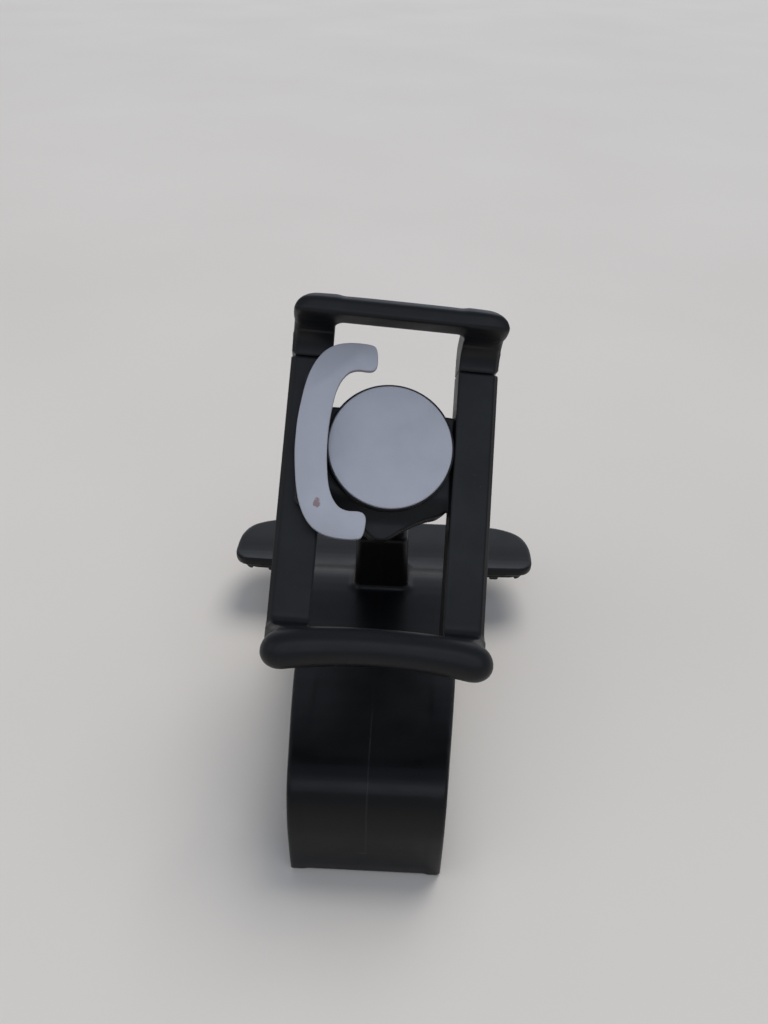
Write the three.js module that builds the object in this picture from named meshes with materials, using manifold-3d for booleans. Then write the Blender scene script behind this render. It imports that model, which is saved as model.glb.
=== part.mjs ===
// Dashboard spring-clip phone holder: a spring jaw clip with a pedestal, a locking
// ball joint and a telescoping cradle with a round disc and a C-shaped plate.
// Units are millimetres. +X right, +Y towards the jaw mouth, +Z up.
import * as THREE from 'three';
import { mergeVertices } from 'three/addons/utils/BufferGeometryUtils.js';
import Module from 'manifold-3d';

const wasm = await Module();
wasm.setup();

// ---------------------------------------------------------------- dimensions
const CLIP_LENGTH = 96;          // closed end to the front edge of the jaw wings
const WING_HALF = 39.8;          // half of the width over the jaw wings
const HOUSING_HALF = 15.0;       // half width of the band at its closed end
const HINGE = [14, 10];          // y, z of the jaw hinge axis
const PIN_R = 2.0;
const BALL_POS = [0, 63.5, 55.7];
const BALL_R = 8.5;              // 17 mm ball
const STEM_LEAN = 8;             // degrees, towards the user
const PAN = 9.9;                 // degrees about the stem
const ELEV = 54.27;              // degrees, cradle normal above the stem's normal plane
const SPIN = -9.8;               // degrees about the cradle normal
const FACE_TO_BALL = 16;         // rail face plane to ball centre
const CRADLE_SCALE = 0.968;      // the cradle is drawn 44 mm wide and made 42.6 mm wide
const RAIL_IN = 13.4, RAIL_OUT = 22.0;
const RAIL_T = 5.6;              // rail depth
const JOINT_B = 17.8;            // top end of the fixed rails
const DISC_R = 12.9;
const DISC_TOP = 1.2;
const PLATE_TOP = 4.6, PLATE_T = 1.4;
const GAP = 0.3;

// ---------------------------------------------------------------- materials
const mat = (c, r, m) => new THREE.MeshStandardMaterial({ color: c, roughness: r, metalness: m });
const blackPlastic = mat(0x16181b, 0.42, 0.0);
const frameBlack = mat(0x1a1c20, 0.45, 0.0);
const rubberBlack = mat(0x121212, 0.85, 0.0);
const steel = mat(0xa9adb2, 0.35, 0.9);
const acetal = mat(0xd9d6cc, 0.5, 0.0);
const silver = mat(0x9a9ca8, 0.45, 0.35);
const foam = mat(0x2b2b2e, 0.9, 0.0);

// ---------------------------------------------------------------- helpers
function clean(geom) {
  const g0 = geom.index ? geom.toNonIndexed() : geom.clone();
  for (const k of Object.keys(g0.attributes)) if (k !== 'position') g0.deleteAttribute(k);
  const m = mergeVertices(g0, 1e-4);
  const p = m.attributes.position.array, src = m.index.array;
  const tri = [];
  for (let i = 0; i < src.length; i += 3) {
    const [a, b, c] = [src[i], src[i + 1], src[i + 2]];
    if (a !== b && b !== c && a !== c) tri.push(a, b, c);
  }
  let vol = 0;
  for (let i = 0; i < tri.length; i += 3) {
    const [a, b, c] = [3 * tri[i], 3 * tri[i + 1], 3 * tri[i + 2]];
    vol += p[a] * (p[b + 1] * p[c + 2] - p[b + 2] * p[c + 1])
         - p[a + 1] * (p[b] * p[c + 2] - p[b + 2] * p[c])
         + p[a + 2] * (p[b] * p[c + 1] - p[b + 1] * p[c]);
  }
  if (vol < 0) for (let i = 0; i < tri.length; i += 3) [tri[i + 1], tri[i + 2]] = [tri[i + 2], tri[i + 1]];
  const out = new THREE.BufferGeometry();
  out.setAttribute('position', new THREE.BufferAttribute(new Float32Array(p), 3));
  out.setIndex(tri);
  return out;
}
function solid(geom) {
  const g = clean(geom);
  return new wasm.Manifold(new wasm.Mesh({
    numProp: 3,
    vertProperties: new Float32Array(g.attributes.position.array),
    triVerts: new Uint32Array(g.index.array),
  }));
}
function fromSolid(s) {
  const m = s.getMesh();
  const g = new THREE.BufferGeometry();
  const n = m.numProp, v = m.vertProperties, p = new Float32Array(v.length / n * 3);
  for (let i = 0; i < v.length / n; i++) for (let k = 0; k < 3; k++) p[3 * i + k] = v[n * i + k];
  g.setAttribute('position', new THREE.BufferAttribute(p, 3));
  g.setIndex(Array.from(m.triVerts));
  return clean(g);
}
const union = (...l) => l.reduce((a, b) => a.add(b));
const cut = (a, ...l) => l.reduce((x, y) => x.subtract(y), a);

function box(x0, x1, y0, y1, z0, z1) {
  const g = new THREE.BoxGeometry(x1 - x0, y1 - y0, z1 - z0);
  g.translate((x0 + x1) / 2, (y0 + y1) / 2, (z0 + z1) / 2);
  return g;
}
function prismZ(pts, z0, z1) {
  const g = new THREE.ExtrudeGeometry(new THREE.Shape(pts.map(([x, y]) => new THREE.Vector2(x, y))),
    { depth: z1 - z0, bevelEnabled: false });
  g.translate(0, 0, z0);
  return g;
}
function prismX(pts, x0, x1) {
  const g = prismZ(pts, 0, x1 - x0);
  g.applyMatrix4(new THREE.Matrix4().makeBasis(
    new THREE.Vector3(0, 1, 0), new THREE.Vector3(0, 0, 1), new THREE.Vector3(1, 0, 0)));
  g.translate(x0, 0, 0);
  return g;
}
// Ring profile (r, z) turned about Z.
function turn(pts, seg = 32) {
  const g = new THREE.LatheGeometry(pts.map(([r, z]) => new THREE.Vector2(r, z)), seg);
  g.rotateX(Math.PI / 2);
  return g;
}
function rodX(r, x0, x1, y, z, seg = 20) {
  const g = new THREE.CylinderGeometry(r, r, x1 - x0, seg);
  g.rotateZ(Math.PI / 2);
  g.translate((x0 + x1) / 2, y, z);
  return g;
}
function rodZ(r, z0, z1, x = 0, y = 0, seg = 20) {
  const g = new THREE.CylinderGeometry(r, r, z1 - z0, seg);
  g.rotateX(Math.PI / 2);
  g.translate(x, y, (z0 + z1) / 2);
  return g;
}
// Closed body through rings of equal point count.
function loft(rings) {
  const n = rings[0].length, pos = [], idx = [];
  for (const r of rings) for (const p of r) pos.push(...p);
  for (let k = 0; k + 1 < rings.length; k++) for (let i = 0; i < n; i++) {
    const a = k * n + i, b = k * n + (i + 1) % n, c = a + n, d = b + n;
    idx.push(a, b, d, a, d, c);
  }
  for (const [k, s] of [[0, 1], [rings.length - 1, 0]]) {
    const c = [0, 0, 0];
    for (const p of rings[k]) for (let j = 0; j < 3; j++) c[j] += p[j] / n;
    const ci = pos.length / 3;
    pos.push(...c);
    for (let i = 0; i < n; i++) {
      const a = k * n + i, b = k * n + (i + 1) % n;
      if (s) idx.push(ci, b, a); else idx.push(ci, a, b);
    }
  }
  const g = new THREE.BufferGeometry();
  g.setAttribute('position', new THREE.BufferAttribute(new Float32Array(pos), 3));
  g.setIndex(idx);
  return g;
}
function roundedSquare(h, rc, cx, cy, z, per = 3) {
  const out = [];
  for (let q = 0; q < 4; q++) for (let i = 0; i <= per; i++) {
    const t = Math.PI / 2 * (q + i / per);
    const ox = (q === 0 || q === 3 ? 1 : -1) * (h - rc), oy = (q < 2 ? 1 : -1) * (h - rc);
    out.push([cx + ox + rc * Math.cos(t), cy + oy + rc * Math.sin(t), z]);
  }
  return out;
}
// Round wire along a list of points.
function wire(pts, r, sides, steps) {
  const sh = new THREE.Shape();
  for (let i = 0; i < sides; i++) {
    const t = 2 * Math.PI * i / sides;
    if (i) sh.lineTo(r * Math.cos(t), r * Math.sin(t)); else sh.moveTo(r, 0);
  }
  sh.closePath();
  const curve = new THREE.CatmullRomCurve3(pts.map((p) => new THREE.Vector3(...p)), false, 'centripetal');
  return new THREE.ExtrudeGeometry(sh, { steps, extrudePath: curve, bevelEnabled: false });
}
const mirrorX = (pts) => pts.map(([x, y]) => [-x, y]).reverse();
const bothSides = (half) => [...half, ...mirrorX(half)];
const mesh = (name, g, material, parent) => {
  const m = new THREE.Mesh(g.isBufferGeometry ? clean(g) : fromSolid(g), material);
  m.name = name;
  parent.add(m);
  return m;
};

const group = new THREE.Group();
const clip = new THREE.Group();
clip.position.set(0, -CLIP_LENGTH / 2, 0);
group.add(clip);

// ================================================================ clip
// Side view (y, z) of the upper jaw: outside line, then the inside line back.
const armTop = [[0.35, 0], [0, 1.2], [0, 10], [0.5, 15], [2.0, 19.4], [4.6, 22.5], [8.5, 24], [16, 24.1],
  [32, 23.1], [48, 22.3], [61, 22], [66, 21.3], [70, 19.2], [74, 16.4], [78, 15.3], [86, 14.7], [95, 14], [96, 13.3]];
const armUnder = [[96, 12.2], [95, 11.6], [86, 12.1], [78, 12.7], [73.5, 13.6], [69, 16.4], [65.5, 18.3],
  [60, 18.9], [48, 19.1], [32, 19.9], [17, 20.7], [9, 20.4], [6, 19], [4.2, 16.6], [3.1, 13], [3, 2], [3, 0]];
const planHalf = [[HOUSING_HALF, 0], [15.3, 5], [17.4, 32], [19.3, 62], [19.9, 69], [21.6, 73], [26, 74.7],
  [33, 75.2], [37.2, 75.8], [39.3, 78], [WING_HALF, 82], [39.2, 88], [37.2, 91.8], [33, 94.4], [27, 95.6], [18, CLIP_LENGTH]];
const plan = solid(prismZ(bothSides(planHalf), -2, 60));
const skirt = [[0.5, 0], [9, 0.9], [20, 3.6], [27, 9], [32, 15], [36, 20.5], [34, 22], [10, 23], [4, 21], [1, 15.5]];
const lean = THREE.MathUtils.degToRad(STEM_LEAN);
const stemY = (z) => BALL_POS[1] + (BALL_POS[2] - z) * Math.tan(lean);
const onStem = (g) => g.applyMatrix4(new THREE.Matrix4().makeTranslation(...BALL_POS)
  .multiply(new THREE.Matrix4().makeRotationX(lean)));
const belowArm = solid(prismX([[100, -5], [100, 11], ...armUnder.slice(1, 12), [10, -5]], -45, 45));
// The front face of the post falls forward towards its foot.
const footed = (ring, reach) => ring.map(([x, y, z]) => [x, y < stemY(z) ? y - reach : y, z]);
const pedestal = cut(solid(loft([
  footed(roundedSquare(6.6, 2.0, 0, stemY(12), 12), 2.1), footed(roundedSquare(7.8, 2.4, 0, stemY(20), 20), 2.1),
  footed(roundedSquare(7.3, 2.2, 0, stemY(22.3), 22.3), 2.1), footed(roundedSquare(6.8, 2.0, 0, stemY(23.3), 23.3), 1.95),
  footed(roundedSquare(6.4, 1.8, 0, stemY(24.8), 24.8), 1.75), footed(roundedSquare(6.25, 1.8, 0, stemY(31), 31), 0.8),
  roundedSquare(6.1, 1.7, 0, stemY(36.2), 36.2), roundedSquare(5.5, 1.5, 0, stemY(37), 37),
])), belowArm);
let upperJaw = union(
  solid(prismX([...armTop, ...armUnder], -45, 45)),
  solid(prismX(skirt, -20, -12.3)), solid(prismX(skirt, 12.3, 20)),
).intersect(plan);
// Two stiffening ribs under the arm.
const ribProfile = [[33, 20.6], [62, 20], [70, 17.2], [68.6, 15.1], [62, 15.6], [36, 16.6]];
upperJaw = union(upperJaw, solid(prismX(ribProfile, -11.6, -10.0)), solid(prismX(ribProfile, 10.0, 11.6)), pedestal);
upperJaw = cut(upperJaw,
  solid(rodX(PIN_R + 0.08, -20, 20, ...HINGE, 24)),
  solid(rodX(3.7, 14.6, 20, ...HINGE, 24)), solid(rodX(3.7, -20, -14.6, ...HINGE, 24)),
  solid(onStem(turn([[0, -30], [3.3, -30], [3.3, 0], [0, 0]], 24))),
  solid(onStem(turn([[0, -40], [1.7, -40], [1.7, -20], [0, -20]], 16))),
  solid(onStem(turn([[0, -48], [3.7, -48], [3.7, -34.8], [0, -34.8]], 24))));
mesh('upper_jaw', upperJaw, blackPlastic, clip);

// Ribbed rubber pad under the wings.
const padHalf = [[17, 76.2], [26, 76.6], [36.4, 77.6], [38.0, 79.8], [38.3, 83], [37.7, 87.6], [35.8, 90.6], [32.2, 92.8], [26, 94], [17, 94.4]];
const padShape = solid(prismZ(bothSides(padHalf), 0, 30));
const padBody = [[76, 12.75], [78, 12.6], [86, 12.0], [94.5, 11.55], [94.5, 10.4], [86, 10.8], [76, 11.3]];
let upperPad = solid(prismX(padBody, -40, 40));
for (let i = 0; i < 12; i++) {
  const x = -36.3 + i * 6.6;
  upperPad = upperPad.add(solid(prismX([[76, 11.5], [86, 11.2], [94.5, 10.9], [94.5, 9.3], [86, 9.6], [76, 9.9]], x - 1.2, x + 1.2)));
}
mesh('upper_jaw_pad', upperPad.intersect(padShape), rubberBlack, clip);

// Hinge pin with a head, and its push-on clip.
mesh('hinge_pin', solid(rodX(PIN_R, -15.5, 15.35, ...HINGE, 24)).add(solid(rodX(3.3, -15.6, -14.7, ...HINGE, 24))), steel, clip);
mesh('pin_clip', cut(solid(rodX(3.3, 14.75, 15.3, ...HINGE, 24)), solid(rodX(2.1, 14, 16, ...HINGE, 24))), steel, clip);

// Two torsion springs round the pin: one leg under the arm, one on the lower jaw.
function torsion(x0, x1) {
  const R = 4.2, [cy, cz] = HINGE, pts = [];
  pts.push([x0, cy + 22, cz + 8.6]);
  pts.push([x0, cy + 12, cz + 7.2]);
  const turns = 3, n = 12 * turns + 6;
  for (let i = 0; i <= n; i++) {
    const t = Math.PI / 2 + 2 * Math.PI * i / 12;
    pts.push([x0 + (x1 - x0) * i / n, cy + R * Math.cos(t), cz + R * Math.sin(t)]);
  }
  pts.push([x1, cy + 12, cz - 4.9]);
  pts.push([x1, cy + 22, cz - 5.4]);
  return wire(pts, 0.6, 6, 64);
}
mesh('torsion_spring_left', torsion(-6.2, -1.4), steel, clip);
mesh('torsion_spring_right', torsion(6.2, 1.4), steel, clip);

// Lower jaw: flat base, knuckles on the pin, a raised tip with its own pad.
const lowerTop = [[11, 0], [88, 0], [92.5, 0.8], [94.6, 3.2], [94.6, 5.0], [93.5, 5.6], [78, 6.2], [75, 5.4], [71, 3.9], [66, 3.5], [11.4, 3.5]];
const lowerHalf = [[11.8, 11], [11.8, 32.5], [13, 34.6], [15.6, 38], [16.2, 62], [17.2, 70], [20, 73.8], [24, 75.6], [25.6, 79],
  [25.6, 88], [24.2, 92], [21, 94], [15, 94.6]];
const lowerPlan = solid(prismZ(bothSides(lowerHalf), -2, 30));
const knuckle = (x0, x1) => union(solid(rodX(5, x0, x1, ...HINGE, 24)),
  solid(prismX([[11.2, 0.4], [33, 0.4], [33, 3.2], [26, 4.6], [18.6, 10.6], [14, 14.6], [9.4, 9.4]], x0, x1)));
let lowerJaw = solid(prismX(lowerTop, -30, 30)).intersect(lowerPlan);
lowerJaw = union(lowerJaw, knuckle(-11.8, -8.2), knuckle(8.2, 11.8),
  solid(prismX([[30, 3], [70, 3], [66, 6.2], [34, 6.2]], -14.8, -13.2)),
  solid(prismX([[30, 3], [70, 3], [66, 6.2], [34, 6.2]], 13.2, 14.8)));
lowerJaw = cut(lowerJaw, solid(rodX(PIN_R + 0.08, -20, 20, ...HINGE, 24)));
mesh('lower_jaw', lowerJaw, blackPlastic, clip);
const lowPadHalf = [[12, 77.4], [22.5, 77.4], [24, 79.6], [24, 88], [22.6, 91], [20.4, 92.6], [12, 93]];
let lowerPad = solid(prismX([[77, 6.35], [93.4, 5.75], [93.4, 6.9], [77, 7.4]], -30, 30));
for (let i = 0; i < 7; i++) {
  const x = -20.4 + i * 6.8;
  lowerPad = lowerPad.add(solid(prismX([[77, 6.9], [93.4, 6.4], [93.4, 8.2], [77, 8.7]], x - 1.2, x + 1.2)));
}
mesh('lower_jaw_pad', lowerPad.intersect(solid(prismZ(bothSides(lowPadHalf), 0, 30))), rubberBlack, clip);

// ================================================================ ball joint
const stem = new THREE.Group();
stem.position.set(...BALL_POS);
stem.rotation.x = lean;
clip.add(stem);
const pan = new THREE.Group();
pan.rotation.z = THREE.MathUtils.degToRad(PAN);
stem.add(pan);

const ballArc = [];
for (let i = 0; i <= 12; i++) {
  const t = Math.PI / 2 - i * (Math.PI / 2 + Math.acos(3.2 / BALL_R)) / 12;
  ballArc.push([Math.max(0, BALL_R * Math.cos(t)), BALL_R * Math.sin(t)]);
}
ballArc[0] = [0, BALL_R];
const stud = [...ballArc, [3.2, -12.2], [4.6, -14.4], [5.5, -15.2], [5.5, -17.6], [3.0, -17.6], [3.0, -29.6],
  [1.45, -29.6], [1.45, -20.5], [0, -20.5]];
mesh('ball_stud', turn(stud, 32), steel, pan);
mesh('stem_screw', turn([[0, -21.5], [1.15, -21.5], [1.15, -35.3], [2.9, -35.3], [2.9, -36.6], [2.2, -37.3], [0, -37.3]], 20), steel, pan);
mesh('stem_washer', turn([[1.5, -34.9], [3.4, -34.9], [3.4, -35.2], [1.5, -35.2], [1.5, -34.9]], 24), steel, pan);

const tilt = new THREE.Group();
tilt.rotation.x = THREE.MathUtils.degToRad(90 - ELEV);
pan.add(tilt);
mesh('friction_ring', turn([[8.33, -2.9], [8.72, -1.5], [8.85, 0], [8.72, 1.5], [8.5, 2.5], [10.8, 2.5], [10.8, -2.9], [8.33, -2.9]], 40), acetal, tilt);

// ================================================================ cradle
const spin = new THREE.Group();
spin.rotation.z = THREE.MathUtils.degToRad(SPIN);
tilt.add(spin);

// Socket housing round the ball, with a rounded lobe at its lower side.
const hubOutline = [[-12.5, 6.8], [-11.2, 7.8], [11.2, 7.8], [12.5, 6.8], [12.5, -11.5], [11.3, -12.4], [9.3, -13.1], [7.4, -13.9], [5.5, -15.0],
  [3.7, -16.1], [2.3, -17.1], [0.9, -18.0], [-0.4, -18.3], [-1.8, -18.0], [-3.1, -17.1], [-4.5, -16.1], [-6.4, -15.0], [-8.2, -13.9], [-10.1, -13.1],
  [-11.8, -12.4], [-12.5, -11.9]];
const zc = (c) => c + FACE_TO_BALL;    // cradle depth to the ball-centred frame
const screwXY = [[6.2, 6.2], [-6.2, 6.2], [-6.2, -6.2], [6.2, -6.2]];
let hub = union(
  solid(turn([[0, -3.1], [12.2, -3.1], [12.2, 4.2], [12.6, 5.6], [12.6, 9], [0, 9]], 40)),
  solid(prismZ(hubOutline, zc(-10.5), zc(-4.9))));
hub = cut(hub,
  solid(turn([[0, -6], [11.15, -6], [11.15, 3.0], [9.3, 3.0], [9.0, 4.5], [8.2, 6.2], [6.6, 7.8], [4.2, 8.9], [0, 9.4]], 40)),
  ...screwXY.map(([x, y]) => solid(rodZ(1.3, zc(-9.6), zc(-4), x * CRADLE_SCALE, y * CRADLE_SCALE, 12))));
mesh('hub_housing', hub, frameBlack, spin);

// Lobed locking nut behind the housing.
const lobes = [];
for (let i = 0; i < 64; i++) {
  const t = 2 * Math.PI * i / 64, r = 14.75 + 0.6 * Math.cos(8 * t);
  lobes.push([r * Math.cos(t), r * Math.sin(t)]);
}
const lockNut = cut(solid(prismZ(lobes, -4.8, 3.6)),
  solid(turn([[0, 5], [12.55, 5], [12.55, -3.45], [9.5, -3.45], [10.2, -6], [0, -6]], 40)));
mesh('lock_nut', lockNut, blackPlastic, spin);

const cradle = new THREE.Group();
cradle.position.z = FACE_TO_BALL;
cradle.scale.setScalar(CRADLE_SCALE);
spin.add(cradle);

// Lower frame: two hollow rails, the bridge and the bottom lip.
const railL = solid(box(-RAIL_OUT, -RAIL_IN, -38, JOINT_B, -RAIL_T, 0));
const railR = solid(box(RAIL_IN, RAIL_OUT, -38, JOINT_B, -RAIL_T, 0));
const bottomNeck = [[-33, -RAIL_T], [-33, 0], [-35.3, 0], [-36.4, 0.4], [-37.1, 1.3], [-37.5, 2.8], [-37.7, 7], [-39, 8.4], [-42.6, 8.4],
  [-44.2, 6.2], [-44.3, 3], [-43.4, -1.4], [-41.5, -4.6], [-39.4, -RAIL_T]];
const barHalf = (s) => [[0, -37.1 - s], [8, -37.2 - s], [13, -37.6 - s], [17.2, -38.2 - s], [19.8, -38.9 - s], [21.5 - s, -40.2], [22.2 - s, -42.0],
  [22.0 - s, -43.8], [20.9 - s, -45.2 + s], [18.9, -46 + s], [15, -45.5 + s], [8, -44.8 + s], [0, -44.4 + s]];
const sym = (half) => [...half, ...half.slice(1, -1).map(([x, y]) => [-x, y]).reverse()];
const channel = (s) => solid(box(s > 0 ? 14.6 : -20.8, s > 0 ? 20.8 : -14.6, -34.5, 19, -RAIL_T - 1, -1.4));
let frame = union(railL, railR,
  solid(prismX(bottomNeck, RAIL_IN, RAIL_OUT)), solid(prismX(bottomNeck, -RAIL_OUT, -RAIL_IN)),
  solid(prismZ(sym(barHalf(0)), 5.6, 9.6)), solid(prismZ(sym(barHalf(1.2)), 4.2, 11)),
  solid(prismZ([[-14, 8], [-12, 8.3], [12, 8.3], [14, 8], [14, -11.9], [11, -12.1], [-11, -12.1], [-14, -11.9]], -4.6, -2)));
frame = cut(frame, channel(1), channel(-1),
  ...screwXY.map(([x, y]) => solid(rodZ(1.4, -6, 1, x, y, 12))),
  solid(rodX(0.8, 14, 21.4, -33, -2.9, 10)), solid(rodX(0.8, -21.4, -14, -33, -2.9, 10)));
mesh('lower_frame', frame, frameBlack, cradle);
screwXY.forEach(([x, y], i) => {
  const g = turn([[0, -0.9], [1.6, -0.95], [2.3, -1.3], [2.3, -1.95], [1.05, -1.95], [1.05, -9.2], [0, -9.2]], 16);
  g.translate(x, y, 0);
  mesh('hub_screw_' + (i + 1), g, steel, cradle);
});

// Closing strips on the back of the rails.
for (const [n, s] of [['left', -1], ['right', 1]]) {
  const a0 = s > 0 ? 14.9 : -20.5, a1 = s > 0 ? 20.5 : -14.9;
  mesh('rail_cover_' + n, box(a0, a1, -34.2, JOINT_B - 0.3, -5.5, -4.5), frameBlack, cradle);
  mesh('anchor_pin_' + n, rodX(0.7, s > 0 ? 14.1 : -21.3, s > 0 ? 21.3 : -14.1, -33, -2.9, 10), steel, cradle);
  // Extension spring inside the rail, between its anchor pin and the slide's pin.
  const pts = [], cx = s * 17.7, turns = 9;
  pts.push([cx, -31.9, -2.9]);
  for (let i = 0; i <= turns * 8; i++) {
    const t = 2 * Math.PI * i / 8;
    pts.push([cx + 1.05 * Math.cos(t) * 0.98, -31.2 + 9.2 * i / (turns * 8), -2.9 + 1.05 * Math.sin(t) * 0.98]);
  }
  pts.push([cx, -21.3, -2.9]);
  mesh('clamp_spring_' + n, wire(pts, 0.22, 5, 76), steel, cradle);
}

// Disc on a black round boss.
mesh('disc_mount', turn([[0, -0.55], [11.6, -0.55], [11.6, -1.95], [13.2, -1.95], [13.3, -1.2], [13.3, 0.75], [13.1, 0.95], [12.95, 0.95], [12.95, 0.15], [0, 0.15]], 48), frameBlack, cradle);
mesh('face_disc', turn([[0, 0.2], [12.75, 0.2], [DISC_R, 0.4], [DISC_R - 0.05, DISC_TOP - 0.1], [DISC_R - 0.25, DISC_TOP], [0, DISC_TOP]], 48), silver, cradle);

// C-shaped plate on a black carrier stuck to the left rail.
const cOuter = [[-4.4, 19.0], [-4.9, 19.8], [-6.3, 20.15], [-10.1, 20.1], [-12.6, 19.5], [-14.6, 18.3], [-16.2, 16.4], [-17.5, 13.7],
  [-18.3, 10.8], [-18.9, 7.0], [-19.3, 3], [-19.35, 0]];
const cInner = [[-12.95, 0], [-12.8, 4], [-12.35, 7.8], [-11.85, 10.2], [-10.9, 12.4], [-9.6, 13.9], [-8.0, 14.5], [-5.6, 14.5],
  [-4.7, 14.8], [-4.15, 15.6], [-4.1, 17.2]];
const flipB = (pts) => pts.map(([x, y]) => [x, -y]).reverse();
const cShape = [...cOuter, ...flipB(cOuter).slice(1), ...flipB(cInner), ...cInner.slice(1)];
mesh('c_plate', prismZ(cShape, PLATE_TOP - PLATE_T, PLATE_TOP), silver, cradle);
const carrier = [[-18.5, 13], [-17.2, 14.4], [-15, 14.6], [-14, 13], [-14, -13], [-15, -14.6], [-17.2, -14.4], [-18.5, -13], [-18.8, -6], [-18.9, 0], [-18.8, 6]];
mesh('plate_carrier', prismZ(carrier, 0.05, 2.7), frameBlack, cradle);
mesh('plate_adhesive', prismZ(carrier, 2.75, 3.15), foam, cradle);

// Upper slide: two legs in the rails, necks and the top lip.
const neck = [[18.1, -RAIL_T], [18.1, 0], [19.4, 0.2], [21.2, 1.0], [22.6, 2.8], [23.4, 5.2], [23.7, 8.0], [24.4, 9.4], [27.4, 9.4],
  [28.5, 7], [28.2, 2.4], [26.9, -2.2], [25, -4.9], [22.8, -RAIL_T]];
const topHalf = (s) => [[0, 23.5 + s], [19, 23.5 + s], [21.5 - s, 23.7 + s], [21.9 - s, 24.7], [21.3 - s, 26.0], [20.1 - s, 27.2 - s / 2], [18.4 - s / 2, 28.1 - s], [16.2, 28.6 - s], [0, 28.6 - s]];
let slide = union(
  solid(prismX(neck, RAIL_IN, RAIL_OUT)), solid(prismX(neck, -RAIL_OUT, -RAIL_IN)),
  solid(prismZ(sym(topHalf(0)), 6.2, 9.8)), solid(prismZ(sym(topHalf(0.9)), 5.2, 10.9)),
  solid(box(14.95, 20.45, -21.5, 18.6, -4.15, -1.7)), solid(box(-20.45, -14.95, -21.5, 18.6, -4.15, -1.7)));
slide = cut(slide, solid(box(16.2, 19.2, -23, -18.6, -6, 0)), solid(box(-19.2, -16.2, -23, -18.6, -6, 0)),
  solid(rodX(0.75, 14, 21.4, -20.3, -2.9, 10)), solid(rodX(0.75, -21.4, -14, -20.3, -2.9, 10)));
mesh('upper_slide', slide, frameBlack, cradle);
mesh('slide_pin_left', rodX(0.65, -20.2, -15.2, -20.3, -2.9, 10), steel, cradle);
mesh('slide_pin_right', rodX(0.65, 15.2, 20.2, -20.3, -2.9, 10), steel, cradle);

export default group;
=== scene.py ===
# Looks for the dashboard phone holder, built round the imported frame. Row frame, metres; profiles below are in millimetres.
import bpy, bmesh, math
import numpy as np
from mathutils import Matrix, Vector


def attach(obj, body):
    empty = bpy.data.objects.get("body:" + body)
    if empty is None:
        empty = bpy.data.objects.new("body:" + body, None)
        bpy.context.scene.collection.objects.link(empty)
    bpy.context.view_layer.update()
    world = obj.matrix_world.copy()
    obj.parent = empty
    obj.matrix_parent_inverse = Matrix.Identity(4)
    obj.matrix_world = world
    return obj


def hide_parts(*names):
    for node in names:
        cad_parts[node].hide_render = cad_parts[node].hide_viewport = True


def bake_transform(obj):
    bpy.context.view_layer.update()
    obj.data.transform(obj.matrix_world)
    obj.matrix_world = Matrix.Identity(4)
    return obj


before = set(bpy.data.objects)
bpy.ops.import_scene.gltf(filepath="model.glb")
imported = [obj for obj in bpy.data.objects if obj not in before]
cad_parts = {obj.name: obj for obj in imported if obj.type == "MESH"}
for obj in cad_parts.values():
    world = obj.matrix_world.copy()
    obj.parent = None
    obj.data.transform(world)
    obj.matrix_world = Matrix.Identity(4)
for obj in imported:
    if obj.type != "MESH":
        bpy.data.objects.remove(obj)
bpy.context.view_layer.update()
HF = 1.0


# ---------------------------------------------------------------- camera
cam_data = bpy.data.cameras.new("camera")
cam_data.lens, cam_data.sensor_width, cam_data.sensor_fit = 28.125, 36.0, "AUTO"
cam_data.clip_start, cam_data.clip_end = 0.005, 30
cam = bpy.data.objects.new("camera", cam_data)
bpy.context.scene.collection.objects.link(cam)
right = Vector((0.99893, 0.0427, 0.01749))
down = Vector((0.04006, -0.61461, -0.78782))
fwd = Vector((-0.02289, 0.78768, -0.61566))
cam.matrix_world = Matrix(((right.x, -down.x, -fwd.x, 0.004578), (right.y, -down.y, -fwd.y, -0.1295),
                           (right.z, -down.z, -fwd.z, 0.155767), (0, 0, 0, 1)))
bpy.context.scene.camera = cam


# ---------------------------------------------------------------- frames of the groups
def rot(axis, deg):
    m = np.eye(4)
    m[:3, :3] = np.array(Matrix.Rotation(math.radians(deg), 3, axis))
    return m


def shift(x, y, z):
    m = np.eye(4)
    m[:3, 3] = (x, y, z)
    return m


BALL = np.array([0, 63.5, 55.7])
BALL_R = 8.5
LEAN = math.radians(8)
M_CLIP = shift(0, -48, 0)
M_PAN = M_CLIP @ shift(*BALL) @ rot("X", 8) @ rot("Z", 9.9)
M_TILT = M_PAN @ rot("X", 90 - 54.27)
M_SPIN = M_TILT @ rot("Z", -9.8)
K = 0.968
M_CRADLE = M_SPIN @ shift(0, 0, 16) @ np.diag([K, K, K, 1.0])


def to_row(v, m):
    v = np.asarray(v, float).reshape(-1, 3)
    return (v @ m[:3, :3].T + m[:3, 3]) / 1000


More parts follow.
